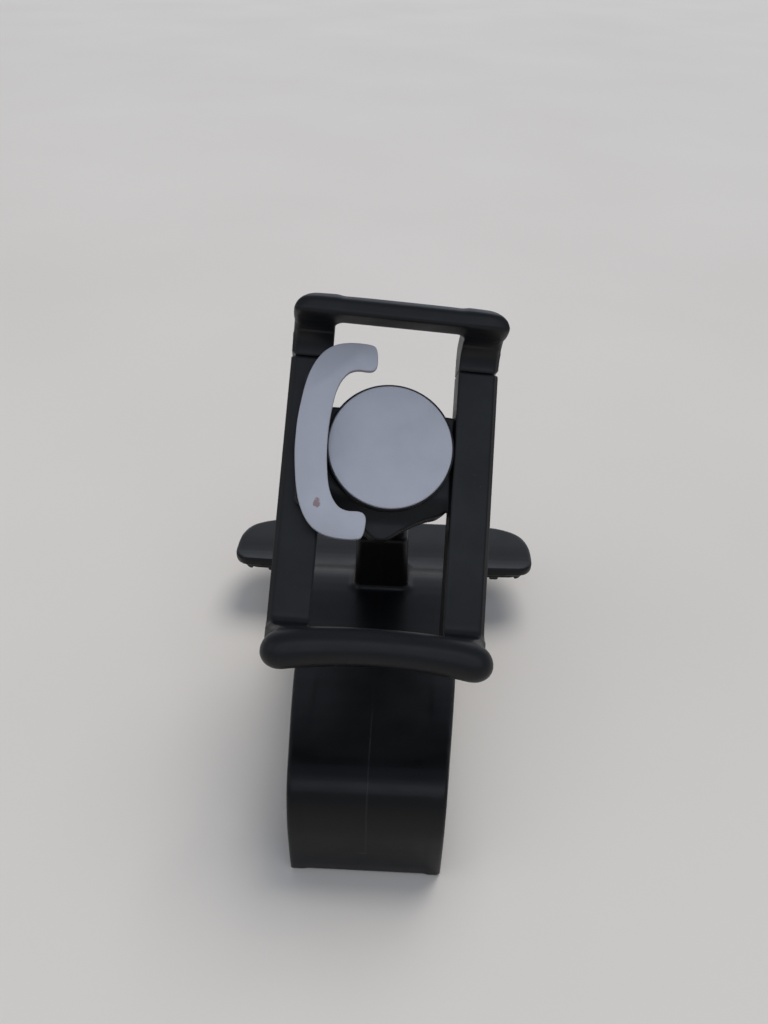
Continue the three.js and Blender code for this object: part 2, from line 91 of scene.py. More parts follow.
# ---------------------------------------------------------------- outlines
def curve(pts, corners=(), closed=True, sub=5):
    """Centripetal Catmull-Rom through the points; corners lists indices where it may turn sharply."""
    p = [np.array(q, float) for q in pts]
    n = len(p)
    out = []
    last = n if closed else n - 1
    for i in range(last):
        a, b = p[i], p[(i + 1) % n]
        prev = p[(i - 1) % n] if (closed or i > 0) else None
        nxt = p[(i + 2) % n] if (closed or i + 2 < n) else None
        if i in corners or prev is None:
            prev = 2 * a - b
        if (i + 1) % n in corners or nxt is None:
            nxt = 2 * b - a
        t0 = 0.0
        t1 = t0 + max(np.linalg.norm(a - prev), 1e-6) ** 0.5
        t2 = t1 + max(np.linalg.norm(b - a), 1e-6) ** 0.5
        t3 = t2 + max(np.linalg.norm(nxt - b), 1e-6) ** 0.5
        for k in range(sub):
            t = t1 + (t2 - t1) * k / sub
            A1 = (t1 - t) / (t1 - t0) * prev + (t - t0) / (t1 - t0) * a
            A2 = (t2 - t) / (t2 - t1) * a + (t - t1) / (t2 - t1) * b
            A3 = (t3 - t) / (t3 - t2) * b + (t - t2) / (t3 - t2) * nxt
            B1 = (t2 - t) / (t2 - t0) * A1 + (t - t0) / (t2 - t0) * A2
            B2 = (t3 - t) / (t3 - t1) * A2 + (t - t1) / (t3 - t1) * A3
            out.append((t2 - t) / (t2 - t1) * B1 + (t - t1) / (t2 - t1) * B2)
    if not closed:
        out.append(p[-1])
    return np.array(out)


def fillet(pts, r, n=4, closed=True):
    """The polyline with its corners turned into small arcs."""
    p = [np.array(q, float) for q in pts]
    m = len(p)
    out = []
    for i in range(m):
        if not closed and i in (0, m - 1):
            out.append(p[i])
            continue
        a, v, b = p[(i - 1) % m], p[i], p[(i + 1) % m]
        la, lb = np.linalg.norm(a - v), np.linalg.norm(b - v)
        ua, ub = (a - v) / la, (b - v) / lb
        cosang = float(np.clip(ua @ ub, -1, 1))
        ang = math.acos(cosang)
        if ang > math.radians(176):
            out.append(v)
            continue
        ri = r[i] if isinstance(r, (list, tuple)) else r
        t = min(ri / max(math.tan(ang / 2), 1e-3), 0.45 * la, 0.45 * lb)
        s, e = v + ua * t, v + ub * t
        for k in range(n + 1):
            w = k / n
            out.append((1 - w) ** 2 * s + 2 * w * (1 - w) * v + w * w * e)
    return np.array(out)


def poly_sd(px, py, pts):
    d2 = np.full(px.shape, 1e18)
    inside = np.zeros(px.shape, bool)
    n = len(pts)
    for i in range(n):
        ax, ay = pts[i]
        bx, by = pts[(i + 1) % n]
        ex, ey = bx - ax, by - ay
        L = ex * ex + ey * ey
        if L < 1e-14:
            continue
        wx, wy = px - ax, py - ay
        t = np.clip((wx * ex + wy * ey) / L, 0, 1)
        dx, dy = wx - t * ex, wy - t * ey
        np.minimum(d2, dx * dx + dy * dy, out=d2)
        if ay != by:
            inside ^= ((ay <= py) != (by <= py)) & (px < ex * (py - ay) / ey + ax)
    return np.where(inside, -1.0, 1.0) * np.sqrt(d2)


class Outline:
    """Signed distance to a closed outline, from a table."""

    def __init__(self, pts, step=0.16, margin=4.0):
        pts = np.array(pts, float)
        self.lo = pts.min(0) - margin
        hi = pts.max(0) + margin
        self.s = step
        self.n = np.ceil((hi - self.lo) / step).astype(int) + 1
        gx = self.lo[0] + step * np.arange(self.n[0])
        gy = self.lo[1] + step * np.arange(self.n[1])
        X, Y = np.meshgrid(gx, gy, indexing="ij")
        self.t = poly_sd(X.ravel(), Y.ravel(), pts).reshape(X.shape)

    def __call__(self, x, y):
        u, v = (x - self.lo[0]) / self.s, (y - self.lo[1]) / self.s
        uc, vc = np.clip(u, 0, self.n[0] - 1.001), np.clip(v, 0, self.n[1] - 1.001)
        i, j = uc.astype(int), vc.astype(int)
        fu, fv = uc - i, vc - j
        t = self.t
        d = (t[i, j] * (1 - fu) + t[i + 1, j] * fu) * (1 - fv) + (t[i, j + 1] * (1 - fu) + t[i + 1, j + 1] * fu) * fv
        return d + self.s * np.hypot(u - uc, v - vc)


def rmax(a, b, r):
    """Intersection with a round edge of radius r."""
    return np.minimum(np.maximum(a, b), -r) + np.hypot(np.maximum(a + r, 0), np.maximum(b + r, 0))


def rmin(a, b, r):
    """Union with a round inner corner of radius r."""
    return -rmax(-a, -b, r)


def cmax(a, b, leg):
    """Intersection with a flat bevel of that leg."""
    return np.maximum(np.maximum(a, b), (a + b + leg) * 0.7071)


def rbox2(x, y, hx, hy, r):
    qx, qy = np.abs(x) - (hx - r), np.abs(y) - (hy - r)
    return np.hypot(np.maximum(qx, 0), np.maximum(qy, 0)) + np.minimum(np.maximum(qx, qy), 0) - r


# ---------------------------------------------------------------- mesh from a distance field
def field_mesh(f, lo, hi, h, relax=2):
    h = h * HF
    lo = np.array(lo, float) - 2.3 * h
    B = 8
    nb = np.ceil((np.array(hi, float) + 2.3 * h - lo) / (h * B)).astype(int)
    dims = nb * B
    ci = np.stack(np.meshgrid(*[np.arange(k) for k in nb], indexing="ij"), -1).reshape(-1, 3)
    cen = lo + h * B * (ci + 0.5)
    dc = f(cen)
    keep = np.abs(dc) < 0.866 * B * h * 1.45 + h
    D = np.repeat(np.repeat(np.repeat(np.where(dc.reshape(nb) < 0, -9.0, 9.0), B, 0), B, 1), B, 2)
    off = np.stack(np.meshgrid(np.arange(B), np.arange(B), np.arange(B), indexing="ij"), -1).reshape(-1, 3)
    kc = ci[keep]
    for s in range(0, len(kc), 800):
        ijk = (kc[s:s + 800, None, :] * B + off[None]).reshape(-1, 3)
        D[ijk[:, 0], ijk[:, 1], ijk[:, 2]] = f(lo + h * ijk)
    D = np.where(np.abs(D) < 1e-9, 1e-9, D)
    S = D < 0
    c = np.zeros(tuple(dims - 1), np.int8)
    for a in (0, 1):
        for b in (0, 1):
            for e in (0, 1):
                c += S[a:dims[0] - 1 + a, b:dims[1] - 1 + b, e:dims[2] - 1 + e]
    act = (c > 0) & (c < 8)
    idx = np.full(act.shape, -1, np.int64)
    ijk = np.argwhere(act)
    idx[act] = np.arange(len(ijk))
    acc, cnt = np.zeros((len(ijk), 3)), np.zeros(len(ijk))
    for ax in range(3):
        o1 = np.zeros(3, int)
        o1[ax] = 1
        others = [k for k in range(3) if k != ax]
        for a in (0, 1):
            for b in (0, 1):
                o0 = np.zeros(3, int)
                o0[others[0]], o0[others[1]] = a, b
                p0, p1 = ijk + o0, ijk + o0 + o1
                d0, d1 = D[p0[:, 0], p0[:, 1], p0[:, 2]], D[p1[:, 0], p1[:, 1], p1[:, 2]]
                m = (d0 < 0) != (d1 < 0)
                t = np.where(m, d0 / np.where(m, d0 - d1, 1), 0)
                acc += np.where(m[:, None], o0 + t[:, None] * o1, 0)
                cnt += m
    v = lo + h * (ijk + acc / cnt[:, None])
    quads = []
    for ax in range(3):
        u, w = (ax + 1) % 3, (ax + 2) % 3
        sl0, sl1 = [slice(1, -1)] * 3, [slice(1, -1)] * 3
        sl0[ax], sl1[ax] = slice(0, -1), slice(1, None)
        s0, s1 = S[tuple(sl0)], S[tuple(sl1)]
        e = np.argwhere(s0 != s1)
        base = e + 1
        base[:, ax] -= 1
        inside = S[base[:, 0], base[:, 1], base[:, 2]]
        ring = []
        for du, dw in ((-1, -1), (0, -1), (0, 0), (-1, 0)):
            q = base.copy()
            q[:, u] += du
            q[:, w] += dw
            ring.append(idx[q[:, 0], q[:, 1], q[:, 2]])
        q = np.stack(ring, 1)
        quads.append(np.where(inside[:, None], q, q[:, ::-1]))
    quads = np.concatenate(quads)
    quads = quads[(quads >= 0).all(1)]

    def project(v, steps):
        e = 0.02
        k = np.array([[1, -1, -1], [-1, -1, 1], [-1, 1, -1], [1, 1, 1]], float)
        for _ in range(steps):
            g = sum(kk * f(v + e * kk)[:, None] for kk in k) / (4 * e)
            d = f(v)
            g2 = np.maximum((g * g).sum(1), 0.05)
            st = np.clip(d / g2, -0.5 * h, 0.5 * h)
            v = v - st[:, None] * g
        return v

    v = project(v, 2)
    e0 = np.concatenate([quads[:, i] for i in range(4)])
    e1 = np.concatenate([quads[:, (i + 1) % 4] for i in range(4)])
    for _ in range(relax):
        s, n = np.zeros_like(v), np.bincount(e0, minlength=len(v)) + np.bincount(e1, minlength=len(v))
        for k in range(3):
            s[:, k] = np.bincount(e0, v[e1, k], len(v)) + np.bincount(e1, v[e0, k], len(v))
        v = project(v + 0.5 * (s / np.maximum(n, 1)[:, None] - v), 1)
    return v, quads


# ---------------------------------------------------------------- Blender objects
def build(name, verts, faces, m, material, body=None, nodes=(), smooth=True, angle=None):
    me = bpy.data.meshes.new(name)
    v = to_row(verts, m)
    if isinstance(faces, np.ndarray):
        k = faces.shape[1]
        me.vertices.add(len(v))
        me.vertices.foreach_set("co", v.astype(np.float32).ravel())
        me.loops.add(faces.size)
        me.loops.foreach_set("vertex_index", faces.astype(np.int32).ravel())
        me.polygons.add(len(faces))
        me.polygons.foreach_set("loop_start", np.arange(0, faces.size, k, dtype=np.int32))
        me.update(calc_edges=True)
        me.validate()
    else:
        me.from_pydata(v.tolist(), [], [list(map(int, q)) for q in faces])
        me.validate()
    bm = bmesh.new()
    bm.from_mesh(me)
    bmesh.ops.remove_doubles(bm, verts=bm.verts, dist=1e-8)
    loose = [x for x in bm.verts if not x.link_faces]
    if loose:
        bmesh.ops.delete(bm, geom=loose, context="VERTS")
    bmesh.ops.recalc_face_normals(bm, faces=bm.faces)
    if angle is not None:
        for e in bm.edges:
            e.smooth = not (len(e.link_faces) == 2 and e.calc_face_angle(0) > math.radians(angle))
    bm.to_mesh(me)
    bm.free()
    me.polygons.foreach_set("use_smooth", [smooth] * len(me.polygons))
    me.materials.append(material)
    ob = bpy.data.objects.new(name, me)
    bpy.context.scene.collection.objects.link(ob)
    if nodes:
        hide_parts(*nodes)
    if body:
        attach(ob, body)
    return ob


def lathe(profile, seg=96):
    """Closed profile of (r, z) turned about Z; the profile may start and end on the axis."""
    v, f, rings = [], [], []
    closed = not (profile[0][0] < 1e-6 and profile[-1][0] < 1e-6)
    for r, z in profile:
        if r < 1e-6:
            rings.append([len(v)])
            v.append((0, 0, z))
        else:
            rings.append(list(range(len(v), len(v) + seg)))
            for i in range(seg):
                t = 2 * math.pi * i / seg
                v.append((r * math.cos(t), r * math.sin(t), z))
    n = len(rings)
    for k in range(n if closed else n - 1):
        a, b = rings[k], rings[(k + 1) % n]
        for i in range(seg):
            j = (i + 1) % seg
            if len(a) == 1 and len(b) == 1:
                continue
            if len(a) == 1:
                f.append((a[0], b[i], b[j]))
            elif len(b) == 1:
                f.append((a[i], b[0], a[j]))
            else:
                f.append((a[i], b[i], b[j], a[j]))
    return np.array(v), f


def slab(outline, z0, z1, r, steps=3):
    """Flat plate over a smooth outline, with rounded rims."""
    o = np.array(outline, float)
    area = 0.5 * np.sum(o[:, 0] * np.roll(o[:, 1], -1) - np.roll(o[:, 0], -1) * o[:, 1])
    if area < 0:
        o = o[::-1]
    t = np.roll(o, -1, 0) - np.roll(o, 1, 0)
    t /= np.maximum(np.linalg.norm(t, axis=1), 1e-9)[:, None]
    nrm = np.stack([t[:, 1], -t[:, 0]], 1)
    rings = []
    for k in range(steps + 1):
        a = math.pi / 2 * k / steps
        rings.append((r * (1 - math.sin(a)), z0 + r * (1 - math.cos(a))))
    for k in range(steps + 1):
        a = math.pi / 2 * k / steps
        rings.append((r * (1 - math.cos(a)), z1 - r * (1 - math.sin(a))))
    v, n = [], len(o)
    for ins, z in rings:
        p = o - nrm * ins
        v += [(x, y, z) for x, y in p]
    f = []
    for k in range(len(rings) - 1):
        for i in range(n):
            j = (i + 1) % n
            f.append((k * n + i, k * n + j, (k + 1) * n + j, (k + 1) * n + i))
    f.append(tuple(range(n))[::-1])
    f.append(tuple(range((len(rings) - 1) * n, len(rings) * n)))
    return np.array(v), f


def tube(path, r, seg=12):
    """Round wire along a dense path, with domed ends."""
    p = np.array(path, float)
    tan = np.gradient(p, axis=0)
    tan /= np.linalg.norm(tan, axis=1)[:, None]
    up = np.array([0.31, 0.17, 0.93])
    nrm = up - tan[0] * (up @ tan[0])
    nrm /= np.linalg.norm(nrm)
    rings = []

    def ring(c, t, nv, rr):
        b = np.cross(t, nv)
        return [c + rr * (math.cos(a) * nv + math.sin(a) * b) for a in [2 * math.pi * i / seg for i in range(seg)]]
    for k in (3, 2, 1):
        a = math.pi / 2 * k / 3.3
        rings.append(ring(p[0] - tan[0] * r * math.sin(a), tan[0], nrm, r * math.cos(a)))
    for i in range(len(p)):
        nrm = nrm - tan[i] * (nrm @ tan[i])
        nrm /= np.linalg.norm(nrm)
        rings.append(ring(p[i], tan[i], nrm, r))
    for k in (1, 2, 3):
        a = math.pi / 2 * k / 3.3
        rings.append(ring(p[-1] + tan[-1] * r * math.sin(a), tan[-1], nrm, r * math.cos(a)))
    v = [q for rg in rings for q in rg]
    f = []
    for k in range(len(rings) - 1):
        for i in range(seg):
            j = (i + 1) % seg
            f.append((k * seg + i, k * seg + j, (k + 1) * seg + j, (k + 1) * seg + i))
    f.append(tuple(range(seg))[::-1])
    f.append(tuple(range((len(rings) - 1) * seg, len(rings) * seg)))
    return np.array(v), f


# ---------------------------------------------------------------- materials
def new_mat(name):
    m = bpy.data.materials.new(name)
    m.use_nodes = True
    nt = m.node_tree
    nt.nodes.clear()
    out = nt.nodes.new("ShaderNodeOutputMaterial")
    b = nt.nodes.new("ShaderNodeBsdfPrincipled")
    nt.links.new(b.outputs[0], out.inputs[0])
    return m, nt, b


class Net:
    """Short ways to add shader nodes."""

    def __init__(self, nt):
        self.nt = nt
        self.co = self.add("ShaderNodeTexCoord").outputs["Object"]

    def add(self, kind, **kw):
        n = self.nt.nodes.new(kind)
        for k, v in kw.items():
            setattr(n, k, v)
        return n

    def put(self, sock, val):
        if hasattr(val, "is_output"):
            self.nt.links.new(val, sock)
        else:
            sock.default_value = val

    def noise(self, scale, detail=3.0, rough=0.5, stretch=None, dist=0.0):
        co = self.co
        if stretch:
            mp = self.add("ShaderNodeMapping")
            mp.inputs["Scale"].default_value = stretch
            self.put(mp.inputs["Vector"], co)
            co = mp.outputs[0]
        n = self.add("ShaderNodeTexNoise")
        self.put(n.inputs["Vector"], co)
        n.inputs["Scale"].default_value = scale
        n.inputs["Detail"].default_value = detail
        n.inputs["Roughness"].default_value = rough
        n.inputs["Distortion"].default_value = dist
        return n.outputs["Fac"]

    def math(self, op, a, b=0.0, c=0.0, clamp=False):
        n = self.add("ShaderNodeMath", operation=op, use_clamp=clamp)
        self.put(n.inputs[0], a)
        self.put(n.inputs[1], b)
        self.put(n.inputs[2], c)
        return n.outputs[0]

    def remap(self, v, a, b, c, d, smooth=False):
        n = self.add("ShaderNodeMapRange")
        if smooth:
            n.interpolation_type = "SMOOTHSTEP"
        self.put(n.inputs["Value"], v)
        for k, x in (("From Min", a), ("From Max", b), ("To Min", c), ("To Max", d)):
            n.inputs[k].default_value = x
        return n.outputs["Result"]

    def mix(self, fac, a, b):
        n = self.add("ShaderNodeMix", data_type="RGBA")
        self.put(n.inputs[0], fac)
        for s, v in ((n.inputs[6], a), (n.inputs[7], b)):
            self.put(s, v if hasattr(v, "is_output") else (*v, 1.0))
        return n.outputs[2]

    def bump(self, height, dist, strength=1.0, normal=None):
        n = self.add("ShaderNodeBump")
        n.inputs["Strength"].default_value = strength
        n.inputs["Distance"].default_value = dist
        self.put(n.inputs["Height"], height)
        if normal is not None:
            self.put(n.inputs["Normal"], normal)
        return n.outputs[0]

    def xyz(self):
        s = self.add("ShaderNodeSeparateXYZ")
        self.put(s.inputs[0], self.co)
        return s.outputs[0], s.outputs[1], s.outputs[2]

    def near(self, point, r_in, r_out, stretch=(1, 1, 1)):
        """1 near the point, falling to 0 at r_out."""
        sub = self.add("ShaderNodeVectorMath", operation="SUBTRACT")
        self.put(sub.inputs[0], self.co)
        sub.inputs[1].default_value = point
        mul = self.add("ShaderNodeVectorMath", operation="MULTIPLY")
        self.put(mul.inputs[0], sub.outputs[0])
        mul.inputs[1].default_value = stretch
        ln = self.add("ShaderNodeVectorMath", operation="LENGTH")
        self.put(ln.inputs[0], mul.outputs[0])
        return self.remap(ln.outputs["Value"], r_in, r_out, 1.0, 0.0, True)


def moulded(name, lo_col, hi_col, rough, grain=0.45, grain_depth=0.000012, wear=0.35, marks=None, spec=0.5, wave=0.00012, specks=1.0):
    """Injection moulded plastic: fine spark grain, slow tone and gloss changes, handled edges a little lighter."""
    m, nt, b = new_mat(name)
    n = Net(nt)
    slow = n.noise(45, 3, 0.55)
    patch = n.noise(140, 4, 0.6)
    fine = n.noise(1000 / grain, 2, 0.6)
    col = n.mix(n.remap(slow, 0.3, 0.7, 0, 1), lo_col, hi_col)
    point = n.add("ShaderNodeNewGeometry").outputs["Pointiness"]
    edge = n.math("MULTIPLY", n.remap(point, 0.515, 0.60, 0, 1, True), n.remap(patch, 0.38, 0.62, 0.25, 1))
    col = n.mix(n.math("MULTIPLY", edge, wear), col, tuple(min(1, 2.6 * c + 0.012) for c in hi_col))
    dust = n.remap(n.noise(2600, 1, 0.5), 0.735, 0.78, 0, 1, True)
    dust = n.math("MULTIPLY", dust, n.remap(patch, 0.5, 0.7, 0, 0.5 * specks))
    col = n.mix(dust, col, (0.10, 0.10, 0.10))
    ro = n.math("ADD", n.remap(patch, 0.3, 0.7, rough - 0.05, rough + 0.06), n.math("MULTIPLY", fine, 0.05))
    ro = n.math("ADD", ro, n.math("MULTIPLY", edge, -0.05))
    h = n.math("ADD", n.math("MULTIPLY", fine, 1.0), n.math("MULTIPLY", n.noise(230, 2, 0.5), 1.6 * specks))
    nrm = n.bump(h, grain_depth, 1.0)
    nrm = n.bump(slow, wave, 1.0, nrm)
    if marks:
        col, ro, nrm = marks(n, col, ro, nrm)
    n.put(b.inputs["Base Color"], col)
    n.put(b.inputs["Roughness"], ro)
    n.put(b.inputs["Normal"], nrm)
    b.inputs["Specular IOR Level"].default_value = spec
    b.inputs["IOR"].default_value = 1.49
    return m


def clip_marks(n, col, ro, nrm):
    x, y, z = n.xyz()
    # mould witness line down the middle of the closed end, one scratch and one dust speck
    line = n.remap(n.math("ABSOLUTE", n.math("SUBTRACT", x, 0.00008)), 0.00006, 0.00022, 1, 0, True)
    line = n.math("MULTIPLY", line, n.remap(z, 0.0065, 0.0095, 0, 1, True))
    line = n.math("MULTIPLY", line, n.remap(y, -0.034, -0.022, 1, 0.25, True))
    line = n.math("MULTIPLY", line, n.remap(n.noise(420, 2), 0.35, 0.6, 0.45, 1))
    scr = n.near((-0.0006, -0.048, 0.0076), 0.0002, 0.0016, (1, 1, 9))
    scr = n.math("MULTIPLY", scr, n.remap(n.noise(2200, 2), 0.42, 0.6, 0, 1))
    spk = n.near((-0.0012, -0.0292, 0.0240), 0.00012, 0.0002)
    col = n.mix(n.math("MULTIPLY", line, 0.22), col, (0.050, 0.052, 0.056))
    col = n.mix(n.math("MULTIPLY", scr, 0.5), col, (0.12, 0.12, 0.12))
    col = n.mix(spk, col, (0.5, 0.48, 0.42))
    ro = n.math("ADD", ro, n.math("MULTIPLY", scr, 0.2), clamp=True)
    nrm = n.bump(line, 0.00003, 0.6, nrm)
    return col, ro, nrm


MAT = {}
MAT["clip"] = moulded("clip_black_plastic", (0.0024, 0.0025, 0.0029), (0.0040, 0.0041, 0.0046), 0.30, grain_depth=0.000006, wear=0.3,
                      marks=clip_marks, spec=0.24, wave=0.00003, specks=0.3)
MAT["nut"] = moulded("nut_black_plastic", (0.0036, 0.0036, 0.0040), (0.0058, 0.0058, 0.0062), 0.40, spec=0.32)
MAT["frame"] = moulded("frame_black_plastic", (0.0042, 0.0047, 0.0058), (0.0066, 0.0073, 0.0088), 0.38, grain=0.38, wear=0.4, spec=0.28, wave=0.00006, specks=0.6)


def rubber(name):
    m, nt, b = new_mat(name)
    n = Net(nt)
    slow, fine, mid = n.noise(60, 3), n.noise(4200, 3, 0.7), n.noise(600, 4, 0.6)
    col = n.mix(n.remap(slow, 0.3, 0.7, 0, 1), (0.012, 0.012, 0.012), (0.022, 0.021, 0.020))
    bloom = n.remap(mid, 0.48, 0.72, 0, 0.35)
    col = n.mix(bloom, col, (0.055, 0.053, 0.050))
    n.put(b.inputs["Base Color"], col)
    n.put(b.inputs["Roughness"], n.remap(mid, 0.3, 0.7, 0.72, 0.9))
    n.put(b.inputs["Normal"], n.bump(n.math("ADD", fine, mid), 0.00003, 1.0))
    b.inputs["Specular IOR Level"].default_value = 0.35
    b.inputs["Sheen Weight"].default_value = 0.15
    b.inputs["Sheen Roughness"].default_value = 0.5
    return m


def metal(name, base, rough, stretch=None, scale=900, tint=(0.30, 0.29, 0.28), depth=0.000008):
    m, nt, b = new_mat(name)
    n = Net(nt)
    slow, lines = n.noise(120, 3, 0.6), n.noise(scale, 3, 0.6, stretch)
    col = n.mix(n.remap(slow, 0.35, 0.75, 0, 0.6), base, tint)
    col = n.mix(n.remap(lines, 0.55, 0.8, 0, 0.25), col, tuple(c * 0.6 for c in base))
    n.put(b.inputs["Base Color"], col)
    n.put(b.inputs["Roughness"], n.math("ADD", n.remap(lines, 0.3, 0.7, rough - 0.06, rough + 0.08), n.math("MULTIPLY", slow, 0.08)))
    n.put(b.inputs["Normal"], n.bump(lines, depth, 1.0))
    b.inputs["Metallic"].default_value = 1.0
    return m


MAT["rubber"] = rubber("pad_rubber")
MAT["steel"] = metal("zinc_plated_steel", (0.52, 0.52, 0.53), 0.30)
MAT["spring"] = metal("spring_steel", (0.33, 0.33, 0.34), 0.28, tint=(0.22, 0.20, 0.18))
MAT["ball"] = metal("blackened_ball_steel", (0.045, 0.046, 0.050), 0.26, scale=1500, tint=(0.030, 0.030, 0.032))


def acetal():
    m, nt, b = new_mat("natural_acetal")
    n = Net(nt)
    slow, fine = n.noise(150, 3), n.noise(2500, 2)
    n.put(b.inputs["Base Color"], n.mix(n.remap(slow, 0.3, 0.7, 0, 1), (0.66, 0.64, 0.58), (0.74, 0.72, 0.66)))
    n.put(b.inputs["Roughness"], n.remap(fine, 0.3, 0.7, 0.38, 0.5))
    n.put(b.inputs["Normal"], n.bump(fine, 0.00001, 1.0))
    b.inputs["Subsurface Weight"].default_value = 0.1
    b.inputs["Subsurface Radius"].default_value = (0.001, 0.001, 0.001)
    return m


MAT["acetal"] = acetal()


def foam():
    m, nt, b = new_mat("adhesive_foam")
    n = Net(nt)
    cells = n.add("ShaderNodeTexVoronoi")
    n.put(cells.inputs["Vector"], n.co)
    cells.inputs["Scale"].default_value = 3500
    d = cells.outputs["Distance"]
    n.put(b.inputs["Base Color"], n.mix(n.remap(d, 0.1, 0.6, 0, 1), (0.010, 0.010, 0.010), (0.026, 0.026, 0.027)))
    n.put(b.inputs["Roughness"], n.remap(d, 0.0, 0.6, 0.95, 0.8))
    n.put(b.inputs["Normal"], n.bump(d, 0.00004, 1.0))
    return m


MAT["foam"] = foam()


def satin(name, marks=None):
    """Satin coated sheet metal: very fine blasted tooth, faint handling haze."""
    m, nt, b = new_mat(name)
    n = Net(nt)
    slow, haze, fine = n.noise(38, 3, 0.55), n.noise(170, 4, 0.6, dist=0.4), n.noise(3600, 2, 0.7)
    col = n.mix(n.remap(slow, 0.32, 0.7, 0, 1), (0.415, 0.420, 0.470), (0.445, 0.450, 0.500))
    col = n.mix(n.remap(haze, 0.52, 0.8, 0, 0.30), col, (0.39, 0.39, 0.42))
    col = n.mix(n.remap(fine, 0.62, 0.8, 0, 0.25), col, (0.32, 0.32, 0.36))
    ro = n.math("ADD", n.remap(haze, 0.3, 0.75, 0.40, 0.50), n.math("MULTIPLY", fine, 0.08))
    hair = n.noise(700, 2, 0.6, (1.0, 14.0, 3.0), 0.3)
    ro = n.math("ADD", ro, n.remap(hair, 0.66, 0.72, 0, 0.08))
    nrm = n.bump(fine, 0.000010, 1.0)
    if marks:
        col, ro, nrm = marks(n, col, ro, nrm)
    n.put(b.inputs["Base Color"], col)
    n.put(b.inputs["Roughness"], ro)
    n.put(b.inputs["Normal"], nrm)
    b.inputs["Metallic"].default_value = 0.35
    return m


def stain_at(p_mm):
    p = tuple(float(q) for q in to_row([p_mm], M_CRADLE)[0])

    def marks(n, col, ro, nrm):
        wob = n.noise(620, 4, 0.65)
        a = n.near(p, 0.0002, 0.0015, (1.25, 0.85, 0.85))
        s = n.remap(n.math("MULTIPLY", a, n.remap(wob, 0.36, 0.6, 0.35, 1.3)), 0.25, 0.7, 0, 1, True)
        col = n.mix(n.math("MULTIPLY", s, 0.75), col, (0.17, 0.075, 0.062))
        ro = n.math("ADD", ro, n.math("MULTIPLY", s, -0.12))
        return col, ro, nrm
    return marks


MAT["disc"] = satin("disc_satin")
MAT["plate"] = satin("plate_satin", stain_at((-14.0, -13.5, 4.6)))


# ================================================================ clip
arm_top = [(0.55, -4), (0.2, 0.6), (0, 3), (0, 10), (0.5, 15), (2.0, 19.4), (4.6, 22.5), (8.5, 24), (16, 24.1),
           (32, 23.1), (48, 22.3), (61, 22), (66, 21.3), (70, 19.2), (74, 16.4), (78, 15.3), (86, 14.7), (95, 14), (100, 13.6)]
arm_under = [(100, 11.3), (95, 11.6), (86, 12.1), (78, 12.7), (73.5, 13.6), (69, 16.4), (65.5, 18.3),
             (60, 18.9), (48, 19.1), (32, 19.9), (17, 20.7), (9, 20.4), (6, 19), (4.2, 16.6), (3.1, 13), (3, 2), (3, -4)]
ARM = Outline(curve(arm_top + arm_under, corners=(0, len(arm_top) - 1, len(arm_top), len(arm_top) + len(arm_under) - 1), sub=4))
plan_half = [(15.0, -4), (15.0, 0), (15.3, 5), (17.4, 32), (19.3, 62), (19.9, 69), (21.6, 73), (26, 74.7),
             (33, 75.2), (37.2, 75.8), (39.3, 78), (39.8, 82), (39.2, 88), (37.2, 91.8), (33, 94.4), (27, 95.6), (18, 96), (8, 96)]
plan_full = plan_half + [(-x, y) for x, y in plan_half[::-1]]
PLAN = Outline(curve(plan_full, corners=(0, len(plan_full) - 1), sub=4))
SKIRT = Outline(curve([(0.5, -3), (9, 0.9), (20, 3.6), (27, 9), (32, 15), (36, 20.5), (34, 22), (10, 23), (4, 21), (1, 15.5), (0.3, 8)], corners=(0,), sub=4))
RIB = Outline([(33, 20.6), (62, 20), (70, 17.2), (68.6, 15.1), (62, 15.6), (36, 16.6)], 0.2)
under_y = [p[0] for p in arm_under[::-1][3:]]
under_z = [p[1] for p in arm_under[::-1][3:]]


def f_upper(P):
    x, y, z = P[:, 0], P[:, 1], P[:, 2]
    ax = np.abs(x)
    plan = PLAN(x, y)
    arm = rmax(rmax(ARM(y, z), plan, 0.85), -z, 0.2)
    sk = rmax(rmax(SKIRT(y, z), 12.3 - ax, 0.4), rmax(plan, -z, 0.2), 0.75)
    d = rmin(arm, sk, 0.9)
    d = rmax(rmax(d, np.maximum(plan, np.minimum(ARM(y, z), SKIRT(y, z))), 0.6), -z, 0.2)
    d = rmin(d, rmax(RIB(y, z), np.abs(ax - 10.8) - 0.8, 0.35), 0.7)
    u = (y - (BALL[1] + (BALL[2] - z) * math.tan(LEAN))) * math.cos(LEAN)
    half = np.interp(z, [12, 24.8, 31, 37], [6.4, 6.3, 6.15, 6.0])
    reach = np.interp(z, [12, 22.3, 36.2], [2.2, 2.2, 0])
    ped = rmax(rbox2(x - 0.15, u + reach / 2, half, half + 0.25 + reach / 2, 1.5), z - 37.0, 0.8)
    ped = np.maximum(ped, np.interp(y, under_y, under_z) + 1.9 - z)
    d = rmin(d, ped, 2.1)
    q = np.hypot(y - 14, z - 10)
    d = rmax(d, -(q - 2.08), 0.25)
    d = rmax(d, -np.maximum(q - 3.7, 14.6 - ax), 0.25)
    sy, sz = y - BALL[1], z - BALL[2]
    py = sy * math.cos(LEAN) + sz * math.sin(LEAN)
    pz = -sy * math.sin(LEAN) + sz * math.cos(LEAN)
    r = np.hypot(x, py)
    d = rmax(d, -np.maximum(r - 3.3, -30 - pz), 0.3)
    d = rmax(d, -(r - 1.7), 0.15)
    d = rmax(d, -np.maximum(r - 3.7, pz + 34.8), 0.3)
    return d


v, q = field_mesh(f_upper, (-40, 0, 0), (40, 96, 38), 0.5)
build("jaw_upper", v, q, M_CLIP, MAT["clip"], "clip_body", ["upper_jaw"])

